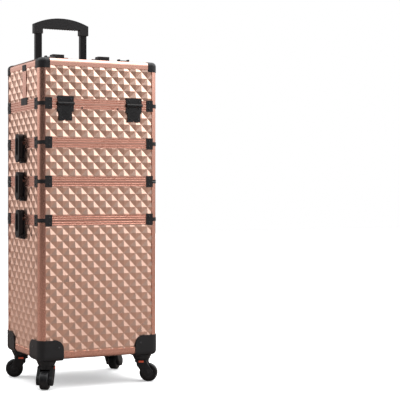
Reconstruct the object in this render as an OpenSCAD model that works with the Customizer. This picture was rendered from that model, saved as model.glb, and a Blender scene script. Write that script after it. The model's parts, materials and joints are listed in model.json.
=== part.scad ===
// Four-part makeup train case: a wheeled trolley case, two lift-off cases and a top case
// with a lid in two halves, cantilever trays and a telescopic handle.
// Origin: on the floor under the centre of the whole object's box. +Z is up and the front
// faces -Y. The modules draw the case around its own centre, and placed() moves it.

/* [Case] */
// Width of the cases, left to right
case_w = 356; // [340:1:370]
// Depth of the cases, front to back
case_d = 258; // [245:1:265]
// Height of the trolley case
trolley_h = 375; // [365:1:385]
// Height of each lift-off case
case_h = 105; // [104:1:112]
// Height of the lid
lid_h = 122; // [118:1:130]
// Height of the trolley's underside above the floor
ground_gap = 80; // [80:1:84]

/* [Frame] */
// Outer radius of the corner posts
post_r = 18; // [17:0.5:20]
// Height of the straight rails
rail_h = 14; // [13:0.5:15]
// Height of the rounded edge rails at the roof and the underside
edge_h = 20; // [19:0.5:22]
// Thickness of the wall boards
board_t = 5; // [4:0.5:5]

/* [Handle] */
// Distance of each handle tube from the centre line
tube_x = 72; // [68:1:74]
// Width of the grip
grip_w = 174; // [172:1:180]

/* [Casters] */
// Radius of the wheels
wheel_r = 25; // [23:0.5:25]
// Width of the wheels
wheel_w = 24; // [20:1:25]

/* [Hidden] */
$fn = 48;

rose = [0.80, 0.56, 0.49];
foil = [0.86, 0.68, 0.60];
black = [0.08, 0.08, 0.09];
steel = [0.78, 0.78, 0.80];

eps = 0.01;
hw = case_w / 2;
hd = case_d / 2;
seam = 0.3;                        // gap between stacked cases
frame_t = 8;                       // thickness of the frame profiles
edge_r = 10;                       // rounding of the edge rails
board_in = 2.5;                    // depth of a board's face behind the frame's face
run_w = case_w - 2 * post_r;       // straight length between the posts, front and back
run_d = case_d - 2 * post_r;       // straight length between the posts, left and right

lower_z = ground_gap + trolley_h;
middle_z = lower_z + case_h;
top_z = middle_z + case_h;
lid_z = top_z + case_h;
roof_z = lid_z + lid_h;

clip_t = 1.2;                      // sheet thickness of the corner clips
clip_h = 15.5;
clip_reach = 36;                   // how far a clip's plate reaches from the corner
band_h = 5;
cap_h = 27;                        // height of the lid's corner caps
cap_run = 12;                      // straight stretch of a cap beyond the post

split_w = 13;                      // width of the rails along the lid's split
split_y = -15;                     // where the lid is split, forward of the middle

// ---------- placing ----------

module at_corners() {
  for (sx = [0, 1], sy = [0, 1])
    mirror([sx, 0, 0]) mirror([0, sy, 0]) children();
}

// Both sides: the child is drawn for the right side
module both_sides() {
  for (s = [0, 1]) mirror([s, 0, 0]) children();
}

// Front and back: the child is drawn for the back
module front_and_back() {
  for (s = [0, 1]) mirror([0, s, 0]) children();
}

// A 2D section (x outwards, y up) run along X on the back face
module run_x(len) {
  translate([-len / 2, 0, 0]) rotate([90, 0, 90]) linear_extrude(len) children();
}

// A 2D section run along all four faces, starting at height z
module run_round(z) {
  for (a = [0, 180]) rotate(a) translate([0, hd, z]) run_x(run_w) children();
  for (a = [90, 270]) rotate(a) translate([0, hw, z]) run_x(run_d) children();
}

// ---------- sections and plates ----------

// A block with one rounded corner, away from the origin
module corner_block(w, h, r) {
  square([w - r, h]);
  square([w, h - r]);
  translate([w - r, h - r]) intersection() {
    circle(r);
    square(r);
  }
}

module rounded_plate(w, d, r, t) {
  linear_extrude(t) {
    square([w - 2 * r, d], center = true);
    square([w, d - 2 * r], center = true);
    for (x = [-1, 1], y = [-1, 1]) translate([x * (w / 2 - r), y * (d / 2 - r)]) circle(r);
  }
}

// Grooved profile of a straight rail
module rail_section() {
  groove = 1;
  polygon([[-frame_t, 0], [0, 0],
           [0, rail_h * 0.22], [-groove, rail_h * 0.30], [0, rail_h * 0.38],
           [0, rail_h * 0.62], [-groove, rail_h * 0.70], [0, rail_h * 0.78],
           [0, rail_h], [-frame_t, rail_h]]);
}

// Angle profile of the rounded edge rails
module edge_section() {
  difference() {
    translate([-post_r, 0]) corner_block(post_r, edge_h, edge_r);
    translate([-post_r - 1, -1]) square([post_r + 1 - frame_t, edge_h + 1 - frame_t]);
  }
}

// Sheet profile of a corner cap over the edge rail
module cap_section() {
  difference() {
    translate([-post_r, edge_h - cap_h]) corner_block(post_r + clip_t, cap_h + clip_t, edge_r + clip_t);
    translate([-post_r - 1, -cap_h]) corner_block(post_r + 1, edge_h + cap_h, edge_r);
  }
}

// ---------- frame ----------

module posts(z0, z1) {
  at_corners() translate([hw - post_r, hd - post_r, z0])
    rotate_extrude(angle = 90) translate([post_r - frame_t, 0]) square([frame_t, z1 - z0]);
}

module rails(z) {
  run_round(z) rail_section();
}

// Rounded edge rails and their corners, with the rounding upwards from z
module edge_ring(z) {
  run_round(z) edge_section();
  at_corners() translate([hw - post_r, hd - post_r, z])
    rotate_extrude(angle = 90) translate([post_r, 0]) edge_section();
}

module case_frame(z0, z1) {
  color(rose) {
    posts(z0, z1);
    rails(z0);
    rails(z1 - rail_h);
  }
}

// ---------- boards ----------

module wall_boards(z0, z1) {
  run_round(z0) translate([-board_in - board_t, 0]) square([board_t, z1 - z0]);
}

// Floor board with a lower step that nests in the case below
module stepped_floor(z0) {
  nest = 3;
  play = 2;
  w = case_w - 2 * frame_t;
  d = case_d - 2 * frame_t;
  translate([0, 0, z0]) rounded_plate(w, d, post_r - frame_t, board_t);
  translate([0, 0, z0 - nest]) rounded_plate(w - 2 * play, d - 2 * play, post_r - frame_t, nest);
}

module case_panels(z0, z1) {
  color(foil) {
    wall_boards(z0 + rail_h, z1 - rail_h);
    stepped_floor(z0);
  }
}

// ---------- corner clips ----------

// Clip for the back right corner: two plates, a band round the post and two rivets
module corner_clip(z, band_z) {
  plate_w = clip_reach - post_r + 2;
  rivet_r = 2;
  rivet_h = 0.8;
  rivet_s = clip_reach - 8;
  translate([hw - clip_reach, hd, z]) cube([plate_w, clip_t, clip_h]);
  translate([hw, hd - clip_reach, z]) cube([clip_t, plate_w, clip_h]);
  translate([hw - post_r, hd - post_r, band_z])
    rotate_extrude(angle = 90) translate([post_r, 0]) square([clip_t, band_h]);
  translate([hw - rivet_s, hd + clip_t - eps, z + clip_h / 2])
    rotate([-90, 0, 0]) cylinder(r = rivet_r, h = rivet_h);
  translate([hw + clip_t - eps, hd - rivet_s, z + clip_h / 2])
    rotate([0, 90, 0]) cylinder(r = rivet_r, h = rivet_h);
}

module bottom_clips(z0) {
  at_corners() corner_clip(z0, z0);
}

module top_clips(z1) {
  at_corners() corner_clip(z1 - clip_h, z1 - band_h);
}

module case_clips(z0, z1) {
  color(black) {
    bottom_clips(z0);
    top_clips(z1);
  }
}

// ---------- side latches ----------

latch_w = 31;
latch_up = 27;                     // top of the lever above the seam
latch_down = 51;                   // bottom of the lever below the seam
latch_in = hw + 5;                 // inner face of the lever
latch_t = 11;
latch_pin_x = latch_in + 3.5;
latch_pin_drop = 46;               // pin below the seam
latch_pin_r = 2;
base_t = 2;
running = 0.06;                    // radial clearance of a pin in its bore

// Racetrack outline, x up and y across
module racetrack(len, w) {
  translate([w / 2, -w / 2]) square([len - w, w]);
  for (x = [w / 2, len - w / 2]) translate([x, 0]) circle(w / 2);
}

// Right side lever over the seam at height z
module side_latch(z) {
  slot_len = 50;
  slot_w = 15;
  slot_depth = 6;
  color(black) difference() {
    translate([latch_in + latch_t, 0, z - latch_down]) rotate([0, -90, 0])
      linear_extrude(latch_t) racetrack(latch_up + latch_down, latch_w);
    translate([latch_in + latch_t + 1, 0, z - latch_down + 18]) rotate([0, -90, 0])
      linear_extrude(slot_depth + 1) racetrack(slot_len, slot_w);
    translate([latch_pin_x, 0, z - latch_pin_drop]) rotate([90, 0, 0])
      cylinder(r = latch_pin_r + running, h = latch_w + 2, center = true);
  }
}

// Right side latch base below the seam at height z: plate, two ears and the pin
module latch_base(z) {
  ear_y = latch_w / 2 + 0.8;
  ear_t = 3;
  plate_h = 52;
  translate([hw, -ear_y - ear_t, z - 2 - plate_h]) cube([base_t, 2 * (ear_y + ear_t), plate_h]);
  translate([hw - board_in, -ear_y - ear_t, z - 2 - plate_h])
    cube([board_in + eps, 2 * (ear_y + ear_t), plate_h + 2 - rail_h - 1]);
  for (s = [0, 1]) mirror([0, s, 0]) translate([hw + base_t - eps, ear_y, z - latch_pin_drop - 5])
    cube([latch_pin_x - hw - base_t + 4, ear_t, 10]);
  translate([latch_pin_x, 0, z - latch_pin_drop]) rotate([90, 0, 0])
    cylinder(r = latch_pin_r, h = 2 * (ear_y + ear_t), center = true);
}

// Round keeper above the seam, on the case the lever holds down
module latch_keeper(z) {
  keeper_r = 11;
  keeper_z = 16;
  translate([hw, 0, z + keeper_z]) rotate([0, 90, 0]) cylinder(r = keeper_r, h = 4);
  translate([hw - board_in, 0, z + keeper_z + 5]) rotate([0, 90, 0]) cylinder(r = 4, h = board_in + 1);
}

// ---------- trolley ----------

trolley_top = lower_z - seam;

module trolley_panels() {
  floor_z = ground_gap + frame_t;
  color(foil) {
    wall_boards(ground_gap + edge_h, trolley_top - rail_h);
    translate([0, 0, floor_z])
      rounded_plate(case_w - 2 * frame_t, case_d - 2 * frame_t, post_r - frame_t, board_t);
  }
}

module trolley_frame() {
  color(rose) {
    posts(ground_gap + edge_h, trolley_top);
    rails(trolley_top - rail_h);
    translate([0, 0, 2 * ground_gap + edge_h]) mirror([0, 0, 1]) edge_ring(ground_gap);
  }
}

module trolley_clips() {
  color(black) top_clips(trolley_top);
}

module trolley_latch_bases() {
  color(black) both_sides() latch_base(lower_z);
}

// ---------- casters ----------

swivel_in = 33;                    // swivel axis from both faces
swivel_x = hw - swivel_in;
swivel_y = hd - swivel_in;
trail = 19;                        // axle from the swivel axis
neck_z = ground_gap - 19;          // underside of the caster socket
stem_r = 5;
axle_r = 3;
axle_z = wheel_r;
cheek_t = 9;
cheek_in = wheel_w / 2 + 1;

housing_t = 2.2;                   // sheet thickness of the corner housings
housing_reach = 70;
housing_h = 57;
housing_round = 25;                // rounding of the upper outer corner
pan_t = 4;
pan_z = ground_gap - pan_t;
skirt_h = 16;                      // height of the housing's rounded lower edge

// Section of the housing's lower edge, from the pan up, rounded below
module skirt_section() {
  translate([0, skirt_h]) mirror([0, 1]) difference() {
    translate([-post_r, 0]) corner_block(post_r + housing_t, skirt_h, edge_r + housing_t + 1);
    translate([-post_r - 1, -1]) corner_block(post_r + 1, skirt_h + 1 - pan_t, edge_r);
  }
}

// Flat side of a housing above its lower edge, x from the post outwards
module housing_side() {
  linear_extrude(housing_t) translate([0, skirt_h - eps])
    corner_block(housing_reach - post_r, housing_h - skirt_h, housing_round);
}

// Protector over a bottom corner, with the caster socket under it
module corner_housing() {
  run = housing_reach - post_r;
  pan_r = post_r + housing_t;
  translate([hw - post_r, hd, pan_z]) rotate([90, 0, 180]) housing_side();
  translate([hw, hd - post_r, pan_z]) mirror([0, 1, 0]) rotate([90, 0, 90]) housing_side();
  translate([hw - post_r, hd - post_r, pan_z + skirt_h - eps])
    rotate_extrude(angle = 90) translate([post_r, 0]) square([housing_t, housing_h - skirt_h]);
  translate([hw - post_r - run, hd, pan_z]) rotate([90, 0, 90]) linear_extrude(run) skirt_section();
  translate([hw, hd - post_r, pan_z]) rotate([90, 0, 0]) linear_extrude(run) skirt_section();
  translate([hw - post_r, hd - post_r, pan_z])
    rotate_extrude(angle = 90) translate([post_r, 0]) skirt_section();
  difference() {
    union() {
      translate([hw - housing_reach, hd - housing_reach, pan_z]) cube([run, run, pan_t]);
      translate([swivel_x, swivel_y, neck_z]) cylinder(r1 = 21, r2 = 28, h = pan_z - neck_z + eps);
    }
    translate([swivel_x, swivel_y, neck_z - 1]) cylinder(r = stem_r + running, h = ground_gap - neck_z + 2);
  }
}

module corner_housings() {
  color(black) at_corners() corner_housing();
}

// Caster fork with its stem and axle, trailing towards +X before it is turned
module fork() {
  disc_r = 20;
  disc_top = neck_z - 0.4;
  disc_z = 2 * wheel_r + 3.5;
  web_t = 5;                       // web across the cheeks, away from the wheel
  web_h = 12;
  color(black) {
    translate([0, 0, disc_z]) cylinder(r = disc_r, h = disc_top - disc_z);
    translate([0, 0, disc_top - eps]) cylinder(r = stem_r, h = ground_gap - 2 - disc_top);
    for (s = [0, 1]) mirror([0, s, 0]) translate([0, cheek_in + cheek_t, 0]) rotate([90, 0, 0])
      linear_extrude(cheek_t) {
        translate([trail, axle_z]) circle(14);
        polygon([[-15, disc_top], [13, disc_top], [trail + 14, axle_z], [trail - 10, axle_z - 9.8],
                 [-13, disc_z - 6]]);
      }
    translate([-13, -cheek_in - 1, disc_z - web_h]) cube([web_t, 2 * cheek_in + 2, web_h + 1]);
    translate([trail, 0, axle_z]) rotate([90, 0, 0])
      cylinder(r = axle_r, h = 2 * cheek_in + 1, center = true);
  }
}

module wheel() {
  shoulder = 5;
  color(black) translate([trail, 0, axle_z]) rotate([90, 0, 0]) rotate_extrude() {
    difference() {
      union() {
        translate([0, -wheel_w / 2]) square([wheel_r - shoulder, wheel_w]);
        translate([0, shoulder - wheel_w / 2]) square([wheel_r, wheel_w - 2 * shoulder]);
        for (s = [-1, 1]) translate([wheel_r - shoulder, s * (wheel_w / 2 - shoulder)]) circle(shoulder);
      }
      translate([-wheel_r, -wheel_w]) square([wheel_r + axle_r + running, 2 * wheel_w]);
    }
  }
}

// sx, sy: which corner; a: the direction in which the wheel trails
module at_caster(sx, sy, a) {
  translate([sx * swivel_x, sy * swivel_y, 0]) rotate(a) children();
}

front_left_a = 235;
front_right_a = 328;
back_left_a = 158;
back_right_a = 42;

// ---------- lift-off cases ----------

module latch_parts(z_keeper, z_base) {
  color(black) both_sides() {
    latch_keeper(z_keeper);
    latch_base(z_base);
  }
}

module top_case_keepers() {
  color(black) both_sides() latch_keeper(top_z);
}

// ---------- lid ----------

// Keeps what is in front of y = cut
module front_half(cut) {
  intersection() {
    children();
    translate([-case_w, -case_d, lid_z - 1]) cube([2 * case_w, case_d + cut, lid_h + 60]);
  }
}

module whole_lid_frame() {
  posts(lid_z, roof_z - edge_h);
  rails(lid_z);
  edge_ring(roof_z - edge_h);
}

// Rails along the split at y = cut, drawn for the front half
module split_rails(cut) {
  side_z0 = lid_z + rail_h;
  side_z1 = roof_z - edge_h;
  both_sides() translate([hw - frame_t, cut - split_w, side_z0])
    cube([frame_t, split_w - seam, side_z1 - side_z0]);
  translate([post_r - hw, cut - split_w, roof_z - frame_t])
    cube([case_w - 2 * post_r, split_w - seam, frame_t]);
}

module half_lid_frame(cut) {
  color(rose) {
    front_half(cut - seam) whole_lid_frame();
    split_rails(cut);
  }
}

module half_lid_panels(cut) {
  roof_w = case_w - 2 * post_r;
  roof_d = hd - post_r + cut - split_w;
  color(foil) {
    front_half(cut - split_w) wall_boards(lid_z + rail_h, roof_z - edge_h);
    translate([-roof_w / 2, post_r - hd, roof_z - board_in - board_t]) cube([roof_w, roof_d, board_t]);
  }
}

module corner_cap() {
  z = roof_z - edge_h;
  translate([hw - post_r, hd - post_r, z])
    rotate_extrude(angle = 90) translate([post_r, 0]) cap_section();
  translate([hw - post_r - cap_run, hd, z]) rotate([90, 0, 90]) linear_extrude(cap_run) cap_section();
  translate([hw, hd - post_r, z]) rotate([90, 0, 0]) linear_extrude(cap_run) cap_section();
}

// Small plate over the end of the split rail, above the bottom rail
module split_plate(cut) {
  translate([hw, cut - split_w - 9, lid_z + 1]) cube([clip_t, split_w + 9 - seam, rail_h + 6]);
  translate([hw, cut - split_w, roof_z - cap_h]) cube([clip_t, split_w - seam, cap_h - edge_r]);
}

module half_lid_corners(cut) {
  color(black) both_sides() {
    mirror([0, 1, 0]) {
      corner_cap();
      corner_clip(lid_z, lid_z);
    }
    split_plate(cut);
  }
}

// ---------- hinges ----------

hinge_x = 103;
hinge_w = 48;
hinge_y = hd + 4.5;                // hinge axis behind the back face
hinge_z = lid_z;
knuckle_r = 4;
pin_r = 1.8;
leaf_t = 2;
leaf_gap = knuckle_r + 0.5;        // leaf edges clear of the other leaf's knuckles
mid_knuckle = 18;

module hinge_barrel(w, r, x0) {
  translate([x0, hinge_y, hinge_z]) rotate([0, 90, 0]) cylinder(r = r, h = w);
}

// Drawn for the hinge at the back right
module base_leaf() {
  side = (hinge_w - mid_knuckle) / 2 - 0.4;
  tab_w = 38;
  tab_h = 46;
  body_h = 22;
  translate([hinge_x, 0, 0]) {
    translate([-hinge_w / 2, hd, hinge_z - body_h]) cube([hinge_w, leaf_t, body_h - leaf_gap]);
    difference() {
      translate([-tab_w / 2, hd, hinge_z - tab_h]) cube([tab_w, leaf_t, tab_h - body_h + eps]);
      translate([0, hd - 1, hinge_z - tab_h]) rotate([-90, 0, 0]) cylinder(r = 4, h = leaf_t + 2);
    }
    for (s = [0, 1]) mirror([s, 0, 0]) {
      translate([hinge_w / 2 - side, hd, hinge_z - body_h]) cube([side, leaf_t, body_h]);
      hinge_barrel(side, knuckle_r, hinge_w / 2 - side);
      for (p = [[15, 9], [12, 38]]) translate([p[0], hd + leaf_t - eps, hinge_z - p[1]])
        rotate([-90, 0, 0]) cylinder(r = 2, h = 1);
    }
    hinge_barrel(hinge_w, pin_r, -hinge_w / 2);
  }
}

module lid_leaf() {
  body_h = 20;
  translate([hinge_x, 0, 0]) difference() {
    union() {
      translate([-hinge_w / 2, hd, hinge_z + leaf_gap]) cube([hinge_w, leaf_t, body_h - leaf_gap]);
      translate([-mid_knuckle / 2, hd, hinge_z + 1]) cube([mid_knuckle, leaf_t, body_h - 1]);
      hinge_barrel(mid_knuckle, knuckle_r, -mid_knuckle / 2);
      for (s = [-1, 1]) translate([s * 15, hd + leaf_t - eps, hinge_z + 12])
        rotate([-90, 0, 0]) cylinder(r = 2, h = 1);
    }
    hinge_barrel(hinge_w, pin_r + running, -hinge_w / 2);
  }
}

module hinge_base_leaves() {
  color(black) both_sides() front_and_back() base_leaf();
}

// ---------- lid latches and carry handle ----------

lid_latch_x = 112;
lid_latch_w = 24;
lid_pin_y = -30;
lid_pin_z = roof_z + 8;

// The latches and the carry handle are drawn for a split at y = 0
module at_split() {
  color(black) translate([0, split_y, 0]) children();
}

module lid_latch_base() {
  ear_t = 4;
  ear_x = lid_latch_w / 2 + 0.4;
  translate([lid_latch_x, 0, 0]) {
    translate([-24, -38, roof_z]) cube([48, 34, 1.5]);
    translate([-24, -38, roof_z - board_in]) cube([48, 38 - split_w, board_in + 1]);
    for (s = [0, 1]) mirror([s, 0, 0])
      translate([ear_x, lid_pin_y - 6, roof_z + 1]) cube([ear_t, 12, 14]);
    translate([0, lid_pin_y, lid_pin_z]) rotate([0, 90, 0])
      cylinder(r = latch_pin_r, h = 2 * (ear_x + ear_t), center = true);
  }
}

// Lever of a lid latch; it lies over the split
module lid_latch() {
  color(black) translate([lid_latch_x, 0, 0]) difference() {
    union() {
      translate([-lid_latch_w / 2, lid_pin_y, lid_pin_z - 2]) cube([lid_latch_w, 44, 5]);
      translate([0, lid_pin_y, lid_pin_z]) rotate([0, 90, 0])
        cylinder(r = 5, h = lid_latch_w, center = true);
      translate([-lid_latch_w / 2, lid_pin_y + 36, lid_pin_z + 2]) cube([lid_latch_w, 8, 4]);
    }
    translate([0, lid_pin_y, lid_pin_z]) rotate([0, 90, 0])
      cylinder(r = latch_pin_r + running, h = lid_latch_w + 2, center = true);
  }
}

handle_pivot_x = 51;
bracket_w = 35;
bracket_h = 26;
handle_pivot_y = 22;
handle_pivot_z = roof_z + 11;
handle_pin_r = 3;
handle_reach = 38;

// Catches for the lid latches and brackets for the carry handle
module back_lid_fittings() {
  color(black) both_sides() {
    translate([lid_latch_x - 11, 2, roof_z]) cube([22, 20, 4]);
    translate([lid_latch_x - 11, split_w, roof_z - board_in]) cube([22, 22 - split_w, board_in + 1]);
    translate([handle_pivot_x - 2, 6, roof_z]) cube([bracket_w + 8, 32, 2]);
    translate([handle_pivot_x - 2, split_w, roof_z - board_in])
      cube([bracket_w + 8, 38 - split_w, board_in + 1]);
    translate([handle_pivot_x + 2, handle_pivot_y - 11, roof_z + 1]) cube([bracket_w, 22, bracket_h - 1]);
    translate([handle_pivot_x - 18, handle_pivot_y, handle_pivot_z]) rotate([0, 90, 0])
      cylinder(r = handle_pin_r, h = 22);
  }
}

module carry_handle() {
  arm = 14;
  arm_x = handle_pivot_x + 1.5 - arm;
  bar_r = 8;
  color(black) {
    both_sides() difference() {
      union() {
        translate([arm_x, handle_pivot_y, handle_pivot_z]) rotate([0, 90, 0]) cylinder(r = 8, h = arm);
        translate([arm_x, handle_pivot_y, handle_pivot_z - 5]) cube([arm, handle_reach, 10]);
      }
      translate([arm_x - 1, handle_pivot_y, handle_pivot_z]) rotate([0, 90, 0])
        cylinder(r = handle_pin_r + running, h = arm + 2);
    }
    translate([0, handle_pivot_y + handle_reach, handle_pivot_z]) rotate([0, 90, 0])
      cylinder(r = bar_r, h = 2 * (arm_x + arm), center = true);
  }
}

// ---------- telescopic handle ----------

tube_y = hd + 18;
bracket_back_y = tube_y + 12;       // back face of the tube brackets
stages = [[28, 20], [24, 16], [20, 12]];       // outer size of each stage
wall = [1.5, 1.2, 1.2];
outer_z = [ground_gap + 10, lower_z - 5];
middle_tube_z = [lower_z - 75, lower_z + 280];
inner_tube_z = [lower_z + 210, lower_z + 542];
grip_z = inner_tube_z[1];
grip_t = 17;
grip_top = grip_z + 47;

module tubes(stage, span) {
  size = stages[stage];
  bore = [size[0] - 2 * wall[stage], size[1] - 2 * wall[stage]];
  color(black) both_sides() translate([tube_x, tube_y, span[0]]) linear_extrude(span[1] - span[0])
    difference() {
      square(size, center = true);
      square(bore, center = true);
    }
}

// Brackets that hold the outer tubes to the trolley's back
module handle_brackets() {
  block_w = 2 * tube_x + 46;
  block_d = bracket_back_y - hd;
  color(black) for (z = [outer_z[0] + 34, outer_z[1] - 46]) difference() {
    translate([-block_w / 2, hd - board_in, z]) cube([block_w, block_d + board_in, 26]);
    both_sides() translate([tube_x, tube_y, z - 1]) linear_extrude(28) square(stages[0], center = true);
  }
}

button_w = 34;
button_t = 9;
button_z = grip_top - 16;

module handle_grip() {
  rise = 19;
  arch_r = (pow(grip_w / 2, 2) + pow(rise, 2)) / (2 * rise);
  opening_w = 2 * tube_x - 25;
  opening_h = 16;
  color(black) difference() {
    translate([0, tube_y + grip_t / 2, 0]) rotate([90, 0, 0]) linear_extrude(grip_t) difference() {
      intersection() {
        translate([0, grip_top - arch_r]) circle(arch_r, $fn = 180);
        translate([-grip_w / 2, grip_z]) square([grip_w, grip_top - grip_z]);
      }
      translate([-opening_w / 2, grip_z - 1]) square([opening_w, opening_h + 1]);
    }
    translate([-button_w / 2 - 0.4, tube_y - button_t / 2 - 0.4, button_z])
      cube([button_w + 0.8, button_t + 0.8, 30]);
  }
}

module handle_button() {
  travel = 4;
  color([0.3, 0.3, 0.32]) translate([-button_w / 2, tube_y - button_t / 2, button_z + travel])
    cube([button_w, button_t, grip_top - 0.6 - button_z - travel]);
}

// ---------- trays ----------

link_l = 64;                       // pivot to pivot along a bar
link_a = 28;                       // slope of the bars with the trays closed
tray_w = 140;
tray_d = 216;
tray_h = 30;
tray_out = 143;                    // outer wall of the trays from the centre
tray_wall = 2.5;
bar_t = 1.6;
bar_w = 12;
bar_y = tray_d / 2 + 1.2;          // inner face of the bars
stud_r = 2;
link_dx = link_l * cos(link_a);
link_dz = link_l * sin(link_a);
lower_pivot = [tray_out - 71, top_z + 55];
base_pivot = [lower_pivot[0] + link_dx, lower_pivot[1] - link_dz];
upper_pivot = [lower_pivot[0] - link_dx, lower_pivot[1] + link_dz];
lower_tray_z = lower_pivot[1] - 17;
upper_tray_z = upper_pivot[1] - 15;

// Stud on the back right, from y0 to y1, at a pivot
module stud(p, y0, y1) {
  translate([p[0], y0, p[1]]) rotate([-90, 0, 0]) cylinder(r = stud_r, h = y1 - y0);
}

// Studs on the case walls that carry the long bars
module tray_studs() {
  color(steel) both_sides() front_and_back() {
    stud(base_pivot, bar_y - 1, hd - board_in - board_t);
    translate([base_pivot[0], bar_y + bar_t + 0.4, base_pivot[1]]) rotate([-90, 0, 0])
      cylinder(r = 4, h = hd - board_in - board_t - bar_y - bar_t - 0.4);
  }
}

// Long bars of the right trays: one at the back and one at the front
module long_bars() {
  color(steel) front_and_back() translate([base_pivot[0], bar_y + bar_t, base_pivot[1]])
    rotate([90, 0, 0]) linear_extrude(bar_t) difference() {
      rotate(180 - link_a) {
        translate([0, -bar_w / 2]) square([2 * link_l, bar_w]);
        for (i = [0, 2]) translate([i * link_l, 0]) circle(bar_w / 2);
      }
      for (i = [0, 1, 2]) rotate(180 - link_a) translate([i * link_l, 0]) circle(stud_r + running);
    }
}

// Right tray with its studs; p is its long bar pivot
module tray(z, p) {
  color(black) {
    difference() {
      translate([tray_out - tray_w, -tray_d / 2, z]) cube([tray_w, tray_d, tray_h]);
      translate([tray_out - tray_w + tray_wall, tray_wall - tray_d / 2, z + tray_wall])
        cube([tray_w - 2 * tray_wall, tray_d - 2 * tray_wall, tray_h]);
    }
    front_and_back() stud(p, tray_d / 2 - 1, bar_y + bar_t + 0.8);
  }
}

// Divider tray in the middle case: a box with one long and two cross dividers
module divider_tray() {
  w = case_w - 34;
  d = case_d - 32;
  h = 58;
  t = 3;
  z = middle_z + board_t + 0.2;
  color(black) {
    difference() {
      translate([-w / 2, -d / 2, z]) cube([w, d, h]);
      translate([t - w / 2, t - d / 2, z + t]) cube([w - 2 * t, d - 2 * t, h]);
    }
    translate([-w / 2 + 1, -t / 2, z + 1]) cube([w - 2, t, h - 7]);
    for (x = [-w / 6, w / 6]) translate([x - t / 2, 1 - d / 2, z + 1]) cube([t, d - 2, h - 7]);
  }
}

// ---------- nodes ----------

// Half way between the front hinges and the handle brackets
box_centre_y = (bracket_back_y - hinge_y - knuckle_r) / 2;

module placed() {
  translate([0, -box_centre_y, 0]) children();
}

placed() trolley_panels();
placed() trolley_frame();
placed() trolley_clips();
placed() corner_housings();
placed() trolley_latch_bases();
placed() tubes(0, outer_z);  // handle_outer_tubes
placed() handle_brackets();
placed() case_panels(lower_z, middle_z - seam);  // lower_case_panels
placed() case_frame(lower_z, middle_z - seam);  // lower_case_frame
placed() case_clips(lower_z, middle_z - seam);  // lower_case_clips
placed() latch_parts(lower_z, middle_z);  // lower_case_latch_parts
placed() case_panels(middle_z, top_z - seam);  // middle_case_panels
placed() case_frame(middle_z, top_z - seam);  // middle_case_frame
placed() case_clips(middle_z, top_z - seam);  // middle_case_clips
placed() latch_parts(middle_z, top_z);  // middle_case_latch_parts
placed() case_panels(top_z, lid_z - seam);  // top_case_panels
placed() case_frame(top_z, lid_z - seam);  // top_case_frame
placed() case_clips(top_z, lid_z - seam);  // top_case_clips
placed() top_case_keepers();
placed() hinge_base_leaves();
placed() tray_studs();
placed() half_lid_panels(split_y);  // front_lid_panels
placed() half_lid_frame(split_y);  // front_lid_frame
placed() half_lid_corners(split_y);  // front_lid_corners
placed()  // front_lid_hinge_leaves
  color(black) mirror([0, 1, 0]) both_sides() lid_leaf();
placed() at_split() both_sides() lid_latch_base();  // lid_latch_bases
placed() mirror([0, 1, 0]) half_lid_panels(-split_y);  // back_lid_panels
placed() mirror([0, 1, 0]) half_lid_frame(-split_y);  // back_lid_frame
placed() mirror([0, 1, 0]) half_lid_corners(-split_y);  // back_lid_corners
placed() color(black) both_sides() lid_leaf();  // back_lid_hinge_leaves
placed() at_split() back_lid_fittings();
placed() at_split() carry_handle();
placed() at_split() mirror([1, 0, 0]) lid_latch();  // left_lid_latch
placed() at_split() lid_latch();  // right_lid_latch
placed() mirror([1, 0, 0]) side_latch(lower_z);  // left_lower_latch
placed() mirror([1, 0, 0]) side_latch(middle_z);  // left_middle_latch
placed() mirror([1, 0, 0]) side_latch(top_z);  // left_upper_latch
placed() side_latch(lower_z);  // right_lower_latch
placed() side_latch(middle_z);  // right_middle_latch
placed() side_latch(top_z);  // right_upper_latch
placed() tubes(1, middle_tube_z);  // handle_middle_tubes
placed() tubes(2, inner_tube_z);  // handle_inner_tubes
placed() handle_grip();
placed() handle_button();
placed() at_caster(-1, -1, front_left_a) fork();  // front_left_fork
placed() at_caster(1, -1, front_right_a) fork();  // front_right_fork
placed() at_caster(-1, 1, back_left_a) fork();  // back_left_fork
placed() at_caster(1, 1, back_right_a) fork();  // back_right_fork
placed() at_caster(-1, -1, front_left_a) wheel();  // front_left_wheel
placed() at_caster(1, -1, front_right_a) wheel();  // front_right_wheel
placed() at_caster(-1, 1, back_left_a) wheel();  // back_left_wheel
placed() at_caster(1, 1, back_right_a) wheel();  // back_right_wheel
placed() divider_tray();
placed() mirror([1, 0, 0]) long_bars();  // left_long_bars
placed() mirror([1, 0, 0]) tray(lower_tray_z, lower_pivot);  // left_lower_tray
placed() mirror([1, 0, 0]) tray(upper_tray_z, upper_pivot);  // left_upper_tray
placed() long_bars();  // right_long_bars
placed() tray(lower_tray_z, lower_pivot);  // right_lower_tray
placed() tray(upper_tray_z, upper_pivot);  // right_upper_tray
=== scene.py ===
import json
import math

import bmesh
import bpy
from mathutils import Matrix, Vector

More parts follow.
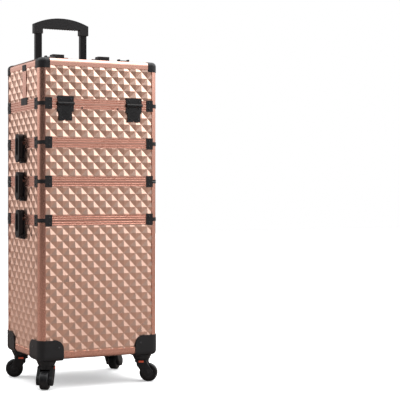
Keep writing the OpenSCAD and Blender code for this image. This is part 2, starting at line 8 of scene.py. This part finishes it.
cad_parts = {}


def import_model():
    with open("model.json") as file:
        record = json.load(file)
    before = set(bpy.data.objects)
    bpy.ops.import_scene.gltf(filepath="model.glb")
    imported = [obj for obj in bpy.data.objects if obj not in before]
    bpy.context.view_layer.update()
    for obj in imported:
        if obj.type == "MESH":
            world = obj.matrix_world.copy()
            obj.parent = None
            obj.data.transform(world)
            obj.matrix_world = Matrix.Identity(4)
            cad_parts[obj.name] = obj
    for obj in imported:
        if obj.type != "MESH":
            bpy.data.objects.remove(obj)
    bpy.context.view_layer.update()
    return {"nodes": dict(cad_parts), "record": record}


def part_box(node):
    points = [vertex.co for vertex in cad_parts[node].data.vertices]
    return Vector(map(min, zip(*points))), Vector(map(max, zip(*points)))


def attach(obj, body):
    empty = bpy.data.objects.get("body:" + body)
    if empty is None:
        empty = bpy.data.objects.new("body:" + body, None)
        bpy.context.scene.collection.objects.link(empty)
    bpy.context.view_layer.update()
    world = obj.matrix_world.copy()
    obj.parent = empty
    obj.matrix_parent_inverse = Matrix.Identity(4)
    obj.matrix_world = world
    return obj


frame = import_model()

NODES = frame["nodes"]
MM = 0.001
POST = 18 * MM           # radius of the corner posts
EDGE = 20 * MM           # height of the rounded edge rails
DIAMOND = 18.3 * MM      # half the diagonal of an embossed pyramid
CLIP = 7.75 * MM         # from the edge of a corner clip to its rivet
RIVET_IN = 28 * MM       # from the case's corner to that rivet
HINGE_X = 103 * MM       # from the middle to a lid hinge
CASE_Y = sum(v[1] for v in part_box("trolley_frame")) / 2     # the case's centre, front to back
VIEW_TURN = math.radians(23)                                # how far left of the front the camera stands
VIEW = Vector((math.sin(VIEW_TURN), math.cos(VIEW_TURN), 0))


def joint(name):
    return next(j for j in frame["record"]["behaviour"]["joints"] if j["name"] == name)


# ---------- materials ----------

def material(name, color, rough, metal=0.0, grain=900.0, bump=0.0, vary=0.0, shine=0.5,
             stretch=(1, 1, 1)):
    """A surface whose colour, roughness and height vary with noise."""
    m = bpy.data.materials.new(name)
    m.use_nodes = True
    nt = m.node_tree
    b = nt.nodes["Principled BSDF"]
    b.inputs["Metallic"].default_value = metal
    b.inputs["Specular IOR Level"].default_value = shine
    tc = nt.nodes.new("ShaderNodeTexCoord")
    mp = nt.nodes.new("ShaderNodeMapping")
    mp.inputs["Scale"].default_value = stretch
    nt.links.new(tc.outputs["Object"], mp.inputs["Vector"])
    fine = nt.nodes.new("ShaderNodeTexNoise")
    fine.inputs["Scale"].default_value = grain
    broad = nt.nodes.new("ShaderNodeTexNoise")
    broad.inputs["Scale"].default_value = 22.0
    for n in (fine, broad):
        nt.links.new(mp.outputs["Vector"], n.inputs["Vector"])
    ramp = nt.nodes.new("ShaderNodeMapRange")
    ramp.inputs["To Min"].default_value = max(0.02, rough - 0.07)
    ramp.inputs["To Max"].default_value = rough + 0.07
    nt.links.new(broad.outputs["Fac"], ramp.inputs["Value"])
    nt.links.new(ramp.outputs["Result"], b.inputs["Roughness"])
    mix = nt.nodes.new("ShaderNodeMix")
    mix.data_type = "RGBA"
    mix.inputs["A"].default_value = (*[c * (1 - vary) for c in color], 1)
    mix.inputs["B"].default_value = (*[min(1, c * (1 + vary)) for c in color], 1)
    nt.links.new(broad.outputs["Fac"], mix.inputs["Factor"])
    nt.links.new(mix.outputs["Result"], b.inputs["Base Color"])
    if bump:
        bp = nt.nodes.new("ShaderNodeBump")
        bp.inputs["Strength"].default_value = bump
        bp.inputs["Distance"].default_value = 0.0003
        nt.links.new(fine.outputs["Fac"], bp.inputs["Height"])
        nt.links.new(bp.outputs["Normal"], b.inputs["Normal"])
    return m


FOIL = material("foil", (0.90, 0.61, 0.49), 0.30, metal=1.0, grain=500, bump=0.04, vary=0.05)
ROSE = material("rose", (0.80, 0.45, 0.355), 0.24, metal=0.95, grain=1400, bump=0.04, vary=0.04)
METAL = material("black_metal", (0.012, 0.012, 0.013), 0.40, grain=1500, bump=0.05, vary=0.15, shine=0.28)
TUBE = material("black_tube", (0.008, 0.008, 0.009), 0.28, grain=1200, bump=0.03, vary=0.1,
                shine=0.16, stretch=(1, 1, 0.05))
RIVET = material("rivet", (0.045, 0.045, 0.048), 0.32, metal=0.6, grain=1500, bump=0.05, vary=0.15)
PLASTIC = material("black_plastic", (0.011, 0.011, 0.012), 0.50, grain=1800, bump=0.12, vary=0.15, shine=0.28)
RUBBER = material("rubber", (0.008, 0.008, 0.009), 0.40, grain=900, bump=0.08, vary=0.2, shine=0.3)
STEEL = material("steel", (0.62, 0.62, 0.64), 0.24, metal=1.0, grain=900, bump=0.04, vary=0.05,
                 stretch=(0.1, 1, 1))
FABRIC = material("fabric", (0.012, 0.012, 0.013), 0.85, grain=1300, bump=0.45, vary=0.25, shine=0.2)
RED = material("lock_tab", (0.55, 0.06, 0.015), 0.40, grain=1200, bump=0.08, vary=0.1)

SLOT_MATERIAL = {
    "foil_board": FABRIC,          # the boards' lined faces; the foil is laid over their outside
    "rose_aluminium": ROSE,
    "black_metal": METAL,
    "black_tube": TUBE,
    "black_plastic": PLASTIC,
    "wheel_rubber": RUBBER,
    "bar_steel": STEEL,
    "tray_fabric": FABRIC,
}
BEVELS = {"rose_aluminium": 0.5, "black_metal": 0.35, "black_plastic": 0.7, "black_tube": 0.9,
          "tray_fabric": 0.6}


def bevel(obj, width):
    b = obj.modifiers.new("bevel", "BEVEL")
    b.width = width * MM
    b.segments = 2
    b.limit_method = "ANGLE"
    b.angle_limit = math.radians(35)
    b.harden_normals = True


def dress_nodes():
    for part in frame["record"]["subparts"]:
        o = NODES[part["node"]]
        o.data.materials.clear()
        o.data.materials.append(SLOT_MATERIAL[part["material_slot"]])
        if part["material_slot"] in BEVELS:
            bevel(o, BEVELS[part["material_slot"]])


# ---------- building pieces ----------

def add(name, bm, mat, body, edge=0.0):
    me = bpy.data.meshes.new(name)
    bm.to_mesh(me)
    bm.free()
    o = bpy.data.objects.new(name, me)
    bpy.context.scene.collection.objects.link(o)
    me.materials.append(mat)
    if edge:
        bevel(o, edge)
    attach(o, body)
    return o


def block(bm, lo, hi):
    lo, hi = Vector(lo), Vector(hi)
    m = Matrix.Translation((lo + hi) / 2) @ Matrix.Diagonal((*(hi - lo), 1))
    return bmesh.ops.create_cube(bm, size=1, matrix=m)["verts"]


def disc(bm, centre, axis, r, h, r2=None, seg=32):
    """A round piece standing on centre and growing along axis."""
    axis = Vector(axis).normalized()
    m = Matrix.Translation(Vector(centre) + axis * h / 2) @ axis.to_track_quat("Z", "Y").to_matrix().to_4x4()
    return bmesh.ops.create_cone(bm, cap_ends=True, segments=seg, radius1=r, radius2=r if r2 is None else r2,
                                 depth=h, matrix=m)["verts"]


def screw(bm, centre, axis, r):
    """A domed screw or rivet head."""
    axis = Vector(axis).normalized()
    disc(bm, centre, axis, r, 0.5 * MM)
    disc(bm, Vector(centre) + axis * 0.5 * MM, axis, r, 0.5 * MM, r2=r * 0.62)


def embossed(name, body, centre, right, up, w, h, rise):
    """A sheet of square pyramids standing on their corners, trimmed to w by h."""
    bm = bmesh.new()
    right, up = Vector(right), Vector(up)
    out = right.cross(up)
    nx, ny = int(w / 2 / DIAMOND) + 2, int(h / 2 / DIAMOND) + 2
    v = {}
    for i in range(-nx, nx + 1):
        for j in range(-ny, ny + 1):
            top = rise if (i + j) % 2 == 0 else 0
            v[i, j] = bm.verts.new((i * DIAMOND, j * DIAMOND, top))
    for i in range(-nx, nx):
        for j in range(-ny, ny):
            a, b, c, d = v[i, j], v[i + 1, j], v[i + 1, j + 1], v[i, j + 1]
            if (i + j) % 2 == 0:
                bm.faces.new((a, b, d))
                bm.faces.new((b, c, d))
            else:
                bm.faces.new((a, b, c))
                bm.faces.new((a, c, d))
    for co, no in (((w / 2, 0, 0), (1, 0, 0)), ((-w / 2, 0, 0), (-1, 0, 0)),
                   ((0, h / 2, 0), (0, 1, 0)), ((0, -h / 2, 0), (0, -1, 0))):
        geom = bm.verts[:] + bm.edges[:] + bm.faces[:]
        bmesh.ops.bisect_plane(bm, geom=geom, plane_co=co, plane_no=no, clear_outer=True)
    place = Matrix((right, up, out)).transposed().to_4x4()
    bm.transform(Matrix.Translation(Vector(centre) + out * 0.05 * MM) @ place)
    o = add(name, bm, FOIL, body)
    b = o.modifiers.new("bevel", "BEVEL")
    b.width = 0.5 * MM
    b.segments = 2
    b.limit_method = "ANGLE"
    b.angle_limit = math.radians(8)
    return o


def wall_sheets(body, panels, outer, z0, z1):
    """Embossed foil on the four walls of a case."""
    lo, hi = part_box(panels)
    flo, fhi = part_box(outer)
    rise = (fhi[0] - hi[0]) - 0.1 * MM
    zc, h = (z0 + z1) / 2, z1 - z0
    w, d = fhi[0] - flo[0] - 2 * POST, fhi[1] - flo[1] - 2 * POST
    embossed(body + "_foil_front", body, (0, lo[1], zc), (1, 0, 0), (0, 0, 1), w, h, rise)
    embossed(body + "_foil_back", body, (0, hi[1], zc), (-1, 0, 0), (0, 0, 1), w, h, rise)
    embossed(body + "_foil_left", body, (lo[0], CASE_Y, zc), (0, -1, 0), (0, 0, 1), d, h, rise)
    embossed(body + "_foil_right", body, (hi[0], CASE_Y, zc), (0, 1, 0), (0, 0, 1), d, h, rise)


def lid_sheets(body, front):
    """Embossed foil on the three walls and the roof of half a lid."""
    lo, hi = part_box(body + "_panels")
    flo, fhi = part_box(body + "_frame")
    rise = (fhi[0] - hi[0]) - 0.1 * MM
    rail = 14 * MM
    z0, z1 = flo[2] + rail, fhi[2] - EDGE
    w = fhi[0] - flo[0] - 2 * POST
    face_y, split_y = (lo[1], hi[1]) if front else (hi[1], lo[1])
    post_y = flo[1] + POST if front else fhi[1] - POST
    yc, d = (post_y + split_y) / 2, abs(split_y - post_y)
    zc, h = (z0 + z1) / 2, z1 - z0
    embossed(body + "_foil_face", body, (0, face_y, zc), (1 if front else -1, 0, 0), (0, 0, 1), w, h, rise)
    embossed(body + "_foil_left", body, (lo[0], yc, zc), (0, -1, 0), (0, 0, 1), d, h, rise)
    embossed(body + "_foil_right", body, (hi[0], yc, zc), (0, 1, 0), (0, 0, 1), d, h, rise)
    embossed(body + "_foil_roof", body, (0, yc, hi[2]), (1, 0, 0), (0, 1, 0), w, d, rise)


# ---------- details ----------

def housing_screws():
    lo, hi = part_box("corner_housings")
    bm = bmesh.new()
    z = lo[2] + 52 * MM
    for sx, x in ((-1, lo[0]), (1, hi[0])):
        for sy, y in ((-1, lo[1]), (1, hi[1])):
            screw(bm, (x - sx * 57 * MM, y, z), (0, sy, 0), 2.8 * MM)
            screw(bm, (x, y - sy * 47 * MM, z), (sx, 0, 0), 2.8 * MM)
    add("housing_screws", bm, RIVET, "trolley")


def hinge_details():
    """Ribs and rivet heads on the hinge leaves, and two small screws between the hinges."""
    lo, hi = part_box("hinge_base_leaves")
    ax = joint("front_lid_hinge")["pos_m"]
    bm = bmesh.new()
    for x in (-HINGE_X, HINGE_X):
        for s in (-1, 1):
            y = (hi if s > 0 else lo)[1] - s * 6.5 * MM
            for k in range(6):
                block(bm, (x - 10 * MM, min(y, y + s * 0.8 * MM), ax[2] - (18 + 4 * k) * MM),
                      (x + 10 * MM, max(y, y + s * 0.8 * MM), ax[2] - (16 + 4 * k) * MM))
    add("hinge_ribs", bm, METAL, "top_case", 0.2)
    bm = bmesh.new()
    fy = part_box("top_case_frame")[0][1]
    for x in (-54 * MM, 54 * MM):
        screw(bm, (x, fy, ax[2] - 11 * MM), (0, -1, 0), 2.4 * MM)
    add("rail_screws", bm, METAL, "top_case")
    for name, body, rows, ends in (("hinge_rivets", "top_case", ((15, -9), (12, -38)), (-1, 1)),
                                   ("front_lid_hinge_rivets", "front_lid", ((15, 12),), (-1,)),
                                   ("back_lid_hinge_rivets", "back_lid", ((15, 12),), (1,))):
        bm = bmesh.new()
        for s in ends:
            y = (hi if s > 0 else lo)[1] - s * 5.6 * MM
            for x in (-HINGE_X, HINGE_X):
                for dx, dz in rows:
                    for t in (-1, 1):
                        screw(bm, (x + t * dx * MM, y, ax[2] + dz * MM), (0, s, 0), 1.7 * MM)
        add(name, bm, RIVET, body)


def clip_rivets(body, clips, heights, ends=(-1, 1)):
    """Rivet heads on the corner clips of a case, or of half the lid."""
    flo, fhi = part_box("trolley_frame")
    lo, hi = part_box(clips)
    bm = bmesh.new()
    for z in heights:
        for sx, fx, x in ((-1, flo[0], lo[0]), (1, fhi[0], hi[0])):
            for sy in ends:
                fy, y = (flo[1], lo[1]) if sy < 0 else (fhi[1], hi[1])
                screw(bm, (fx - sx * RIVET_IN, y, z), (0, sy, 0), 1.8 * MM)
                screw(bm, (x, fy - sy * RIVET_IN, z), (sx, 0, 0), 1.8 * MM)
    add(body + "_clip_rivets", bm, RIVET, body)


def caster_details(n):
    """A lock tab on the fork, and a tread and hub caps on the wheel."""
    swivel, spin = joint(n + "_swivel"), joint(n + "_wheel_spin")
    c, s, ax = Vector(spin["pos_m"]), Vector(swivel["pos_m"]), Vector(spin["axis"])
    trail = Vector((c.x - s.x, c.y - s.y, 0)).normalized()
    bm = bmesh.new()
    for side in (-1, 1):
        v = block(bm, (-7 * MM, -1.2 * MM, -2.6 * MM), (7 * MM, 1.2 * MM, 2.6 * MM))
        turn = Matrix((trail, trail.cross(Vector((0, 0, 1))) * -1, Vector((0, 0, 1)))).transposed().to_4x4()
        at = Vector((s.x, s.y, 57.2 * MM)) + ax * side * 22.3 * MM
        bmesh.ops.transform(bm, matrix=Matrix.Translation(at) @ turn, verts=v)
    add(n + "_lock_tabs", bm, RED, n + "_fork", 0.4)
    bm = bmesh.new()
    for side in (-1, 1):
        disc(bm, c + ax * side * 22 * MM, ax * side, 10 * MM, 0.9 * MM, r2=9 * MM)
        disc(bm, c + ax * side * 22.9 * MM, ax * side, 4 * MM, 0.8 * MM, r2=3 * MM)
    add(n + "_axle_caps", bm, PLASTIC, n + "_fork")
    bm = bmesh.new()
    for k in range(3):
        off = ax * (k - 1) * 4 * MM
        for i in range(64):
            a, b = 2 * math.pi * i / 64, 2 * math.pi * (i + 1) / 64
            ring = []
            for t in (a, b):
                d = trail * math.cos(t) + Vector((0, 0, 1)) * math.sin(t)
                ring += [bm.verts.new(c + off + d * 25.1 * MM - ax * 0.8 * MM),
                         bm.verts.new(c + off + d * 25.1 * MM + ax * 0.8 * MM)]
            bm.faces.new((ring[0], ring[1], ring[3], ring[2]))
    add(n + "_tread_bands", bm, RUBBER, n + "_wheel")


def latch_screws():
    for side, s in (("left", -1), ("right", 1)):
        for level in ("lower", "middle", "upper"):
            n = f"{side}_{level}_latch"
            lo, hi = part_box(n)
            x = hi[0] if s > 0 else lo[0]
            bm = bmesh.new()
            for z in (lo[2] + 8 * MM, hi[2] - 5 * MM):
                screw(bm, (x, CASE_Y, z), (s, 0, 0), 2.2 * MM)
            add(n + "_rivets", bm, RIVET, n)


def grip_details():
    """Finger ridges under the grip."""
    lo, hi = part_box("handle_grip")
    bm = bmesh.new()
    yc = (lo[1] + hi[1]) / 2
    for k in range(-6, 7):
        x = k * 8 * MM
        block(bm, (x - 1.5 * MM, lo[1] + 2 * MM, lo[2] + 14.8 * MM),
              (x + 1.5 * MM, hi[1] - 2 * MM, lo[2] + 16.2 * MM))
    add("grip_ridges", bm, PLASTIC, "handle_upper_stage", 0.5)


def divider_foam():
    """Ribbed foam along the walls of the divider tray."""
    lo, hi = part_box("divider_tray")
    bm = bmesh.new()
    z0, z1 = lo[2] + 4 * MM, hi[2] - 4 * MM
    for y in (lo[1] + 3 * MM, hi[1] - 5.2 * MM):
        x = lo[0] + 9 * MM
        while x < hi[0] - 9 * MM:
            block(bm, (x, y, z0), (x + 3 * MM, y + 2.2 * MM, z1))
            x += 6.5 * MM
    add("divider_foam", bm, FABRIC, "divider_tray", 0.4)


def tray_rivets():
    for side, s in (("left", -1), ("right", 1)):
        for level in ("lower", "upper"):
            n = f"{side}_{level}_tray"
            lo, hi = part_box(n)
            p = joint(f"{side}_{level}_tray_level")["pos_m"]
            bm = bmesh.new()
            for y, d in ((lo[1], -1), (hi[1], 1)):
                disc(bm, (p[0], y, p[2]), (0, d, 0), 3.6 * MM, 0.8 * MM, r2=2.8 * MM)
            add(n + "_rivets", bm, STEEL, n)


dress_nodes()
flo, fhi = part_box("trolley_frame")
wall_sheets("trolley", "trolley_panels", "trolley_frame", flo[2] + EDGE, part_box("trolley_panels")[1][2])
for case in ("lower_case", "middle_case", "top_case"):
    clo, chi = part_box(case + "_frame")
    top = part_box(case + "_panels")[1][2]
    wall_sheets(case, case + "_panels", case + "_frame", clo[2] + (chi[2] - top), top)
lid_sheets("front_lid", True)
lid_sheets("back_lid", False)
housing_screws()
hinge_details()
clip_rivets("trolley", "trolley_clips", (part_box("trolley_clips")[1][2] - CLIP,))
for case in ("lower_case", "middle_case", "top_case"):
    clo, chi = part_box(case + "_clips")
    clip_rivets(case, case + "_clips", (clo[2] + CLIP, chi[2] - CLIP))
clip_rivets("front_lid", "front_lid_corners", (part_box("front_lid_corners")[0][2] + CLIP,), (-1,))
clip_rivets("back_lid", "back_lid_corners", (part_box("back_lid_corners")[0][2] + CLIP,), (1,))
for corner in ("front_left", "front_right", "back_left", "back_right"):
    caster_details(corner)
latch_screws()
grip_details()
divider_foam()
tray_rivets()


# ---------- studio ----------

BRIGHT, DARK = 1.42, 0.06          # strength of the studio's walls and of its dark bands
# The middle of each dark band, and the cosines between which it darkens
CAMERA_BAND = ((-0.57, -0.82, 0), 0.25, 0.90)
BACK_BAND = ((0.20, 0.98, 0), 0.82, 0.96)
LOW_TINT = (0.26, 0.19, 0.165, 1)  # of the studio just below the horizon
HIGH_TINT = (1.32, 1.34, 1.36, 1)  # and high up
# Painted shade: the floor's colour as seen in reflections, dark and reddish
FLOOR_PAINTED_SHADE = (0.22, 0.165, 0.14, 1)


def floor_material():
    """Pale, and painted dark and reddish in reflections: a painted shade that stands for a studio floor away
    from its lights.
    """
    m = material("floor", (0.95, 0.95, 0.95), 0.8, grain=40, vary=0.01)
    nt = m.node_tree
    b = nt.nodes["Principled BSDF"]
    pale = b.inputs["Base Color"].links[0].from_socket
    # Glossy rays get the painted shade colour in place of the pale floor colour
    path = nt.nodes.new("ShaderNodeLightPath")
    mix = nt.nodes.new("ShaderNodeMix")
    mix.data_type = "RGBA"
    mix.inputs["B"].default_value = FLOOR_PAINTED_SHADE
    nt.links.new(path.outputs["Is Glossy Ray"], mix.inputs["Factor"])
    nt.links.new(pale, mix.inputs["A"])
    nt.links.new(mix.outputs["Result"], b.inputs["Base Color"])
    lift = nt.nodes.new("ShaderNodeMath")
    lift.operation = "MULTIPLY"
    lift.inputs[1].default_value = 0.38
    nt.links.new(path.outputs["Is Camera Ray"], lift.inputs[0])
    b.inputs["Emission Color"].default_value = (1, 1, 1, 1)
    nt.links.new(lift.outputs["Value"], b.inputs["Emission Strength"])
    return m


def floor():
    bm = bmesh.new()
    bmesh.ops.create_grid(bm, x_segments=1, y_segments=1, size=8)
    me = bpy.data.meshes.new("floor")
    bm.to_mesh(me)
    bm.free()
    o = bpy.data.objects.new("floor", me)
    bpy.context.scene.collection.objects.link(o)
    me.materials.append(floor_material())


def studio_band(nt, level, towards, start, end):
    """Strength that falls from BRIGHT to DARK as a level direction turns towards the given one."""
    dot = nt.nodes.new("ShaderNodeVectorMath")
    dot.operation = "DOT_PRODUCT"
    dot.inputs[1].default_value = towards
    nt.links.new(level, dot.inputs[0])
    band = nt.nodes.new("ShaderNodeMapRange")
    band.interpolation_type = "SMOOTHSTEP"
    for key, v in (("From Min", start), ("From Max", end), ("To Min", BRIGHT), ("To Max", DARK)):
        band.inputs[key].default_value = v
    nt.links.new(dot.outputs["Value"], band.inputs["Value"])
    return band.outputs["Result"]


def world():
    """White to the camera; to the object, brighter upwards, with dark bands before and behind it."""
    w = bpy.data.worlds.new("studio")
    bpy.context.scene.world = w
    w.use_nodes = True
    nt = w.node_tree
    nt.nodes.clear()
    tc = nt.nodes.new("ShaderNodeTexCoord")
    flat = nt.nodes.new("ShaderNodeVectorMath")
    flat.operation = "MULTIPLY"
    flat.inputs[1].default_value = (1, 1, 0)
    level = nt.nodes.new("ShaderNodeVectorMath")
    level.operation = "NORMALIZE"
    nt.links.new(tc.outputs["Generated"], flat.inputs[0])
    nt.links.new(flat.outputs["Vector"], level.inputs[0])
    least = nt.nodes.new("ShaderNodeMath")
    least.operation = "MINIMUM"
    front = studio_band(nt, level.outputs["Vector"], *CAMERA_BAND)
    behind = studio_band(nt, level.outputs["Vector"], *BACK_BAND)
    nt.links.new(front, least.inputs[0])
    nt.links.new(behind, least.inputs[1])
    lit = nt.nodes.new("ShaderNodeBackground")
    parts = nt.nodes.new("ShaderNodeSeparateXYZ")
    nt.links.new(tc.outputs["Generated"], parts.inputs["Vector"])
    rise = nt.nodes.new("ShaderNodeMapRange")
    for key, v in (("From Min", -0.05), ("From Max", 0.34)):
        rise.inputs[key].default_value = v
    nt.links.new(parts.outputs["Z"], rise.inputs["Value"])
    tint = nt.nodes.new("ShaderNodeMix")
    tint.data_type = "RGBA"
    tint.inputs["A"].default_value = LOW_TINT
    tint.inputs["B"].default_value = HIGH_TINT
    nt.links.new(rise.outputs["Result"], tint.inputs["Factor"])
    nt.links.new(tint.outputs["Result"], lit.inputs["Color"])
    nt.links.new(least.outputs["Value"], lit.inputs["Strength"])
    seen = nt.nodes.new("ShaderNodeBackground")
    seen.inputs["Color"].default_value = (1, 1, 1, 1)
    path = nt.nodes.new("ShaderNodeLightPath")
    mix = nt.nodes.new("ShaderNodeMixShader")
    out = nt.nodes.new("ShaderNodeOutputWorld")
    nt.links.new(path.outputs["Is Camera Ray"], mix.inputs["Fac"])
    nt.links.new(lit.outputs["Background"], mix.inputs[1])
    nt.links.new(seen.outputs["Background"], mix.inputs[2])
    nt.links.new(mix.outputs["Shader"], out.inputs["Surface"])


def area(name, at, target, size, watts):
    light = bpy.data.lights.new(name, "AREA")
    light.shape = "RECTANGLE"
    light.size, light.size_y = size
    light.energy = watts
    o = bpy.data.objects.new(name, light)
    o.location = at
    o.rotation_euler = (Vector(target) - Vector(at)).to_track_quat("-Z", "Y").to_euler()
    bpy.context.scene.collection.objects.link(o)


floor()
world()
area("key", (1.9, -1.0, 2.2), (0, CASE_Y, 0.5), (2.2, 2.2), 20)
area("top", (0, CASE_Y, 3.6), (0, CASE_Y, 0), (5, 5), 130)

CAM_Z = 0.5476                     # height of the camera
CAM_AWAY = 2.9966                  # from the case's centre, along the view
CAM_SIDE = 0.0591                  # and across it
SIDE = Vector((VIEW.y, -VIEW.x, 0))

cam = bpy.data.objects.new("camera", bpy.data.cameras.new("camera"))
cam.location = Vector((0, CASE_Y, CAM_Z)) - VIEW * CAM_AWAY - SIDE * CAM_SIDE
cam.rotation_euler = VIEW.to_track_quat("-Z", "Y").to_euler()
cam.data.lens = 94.83
cam.data.sensor_width = 36
cam.data.shift_x = 0.350
cam.data.shift_y = -0.035
bpy.context.scene.collection.objects.link(cam)
bpy.context.scene.camera = cam
bpy.context.scene.view_settings.view_transform = "Standard"
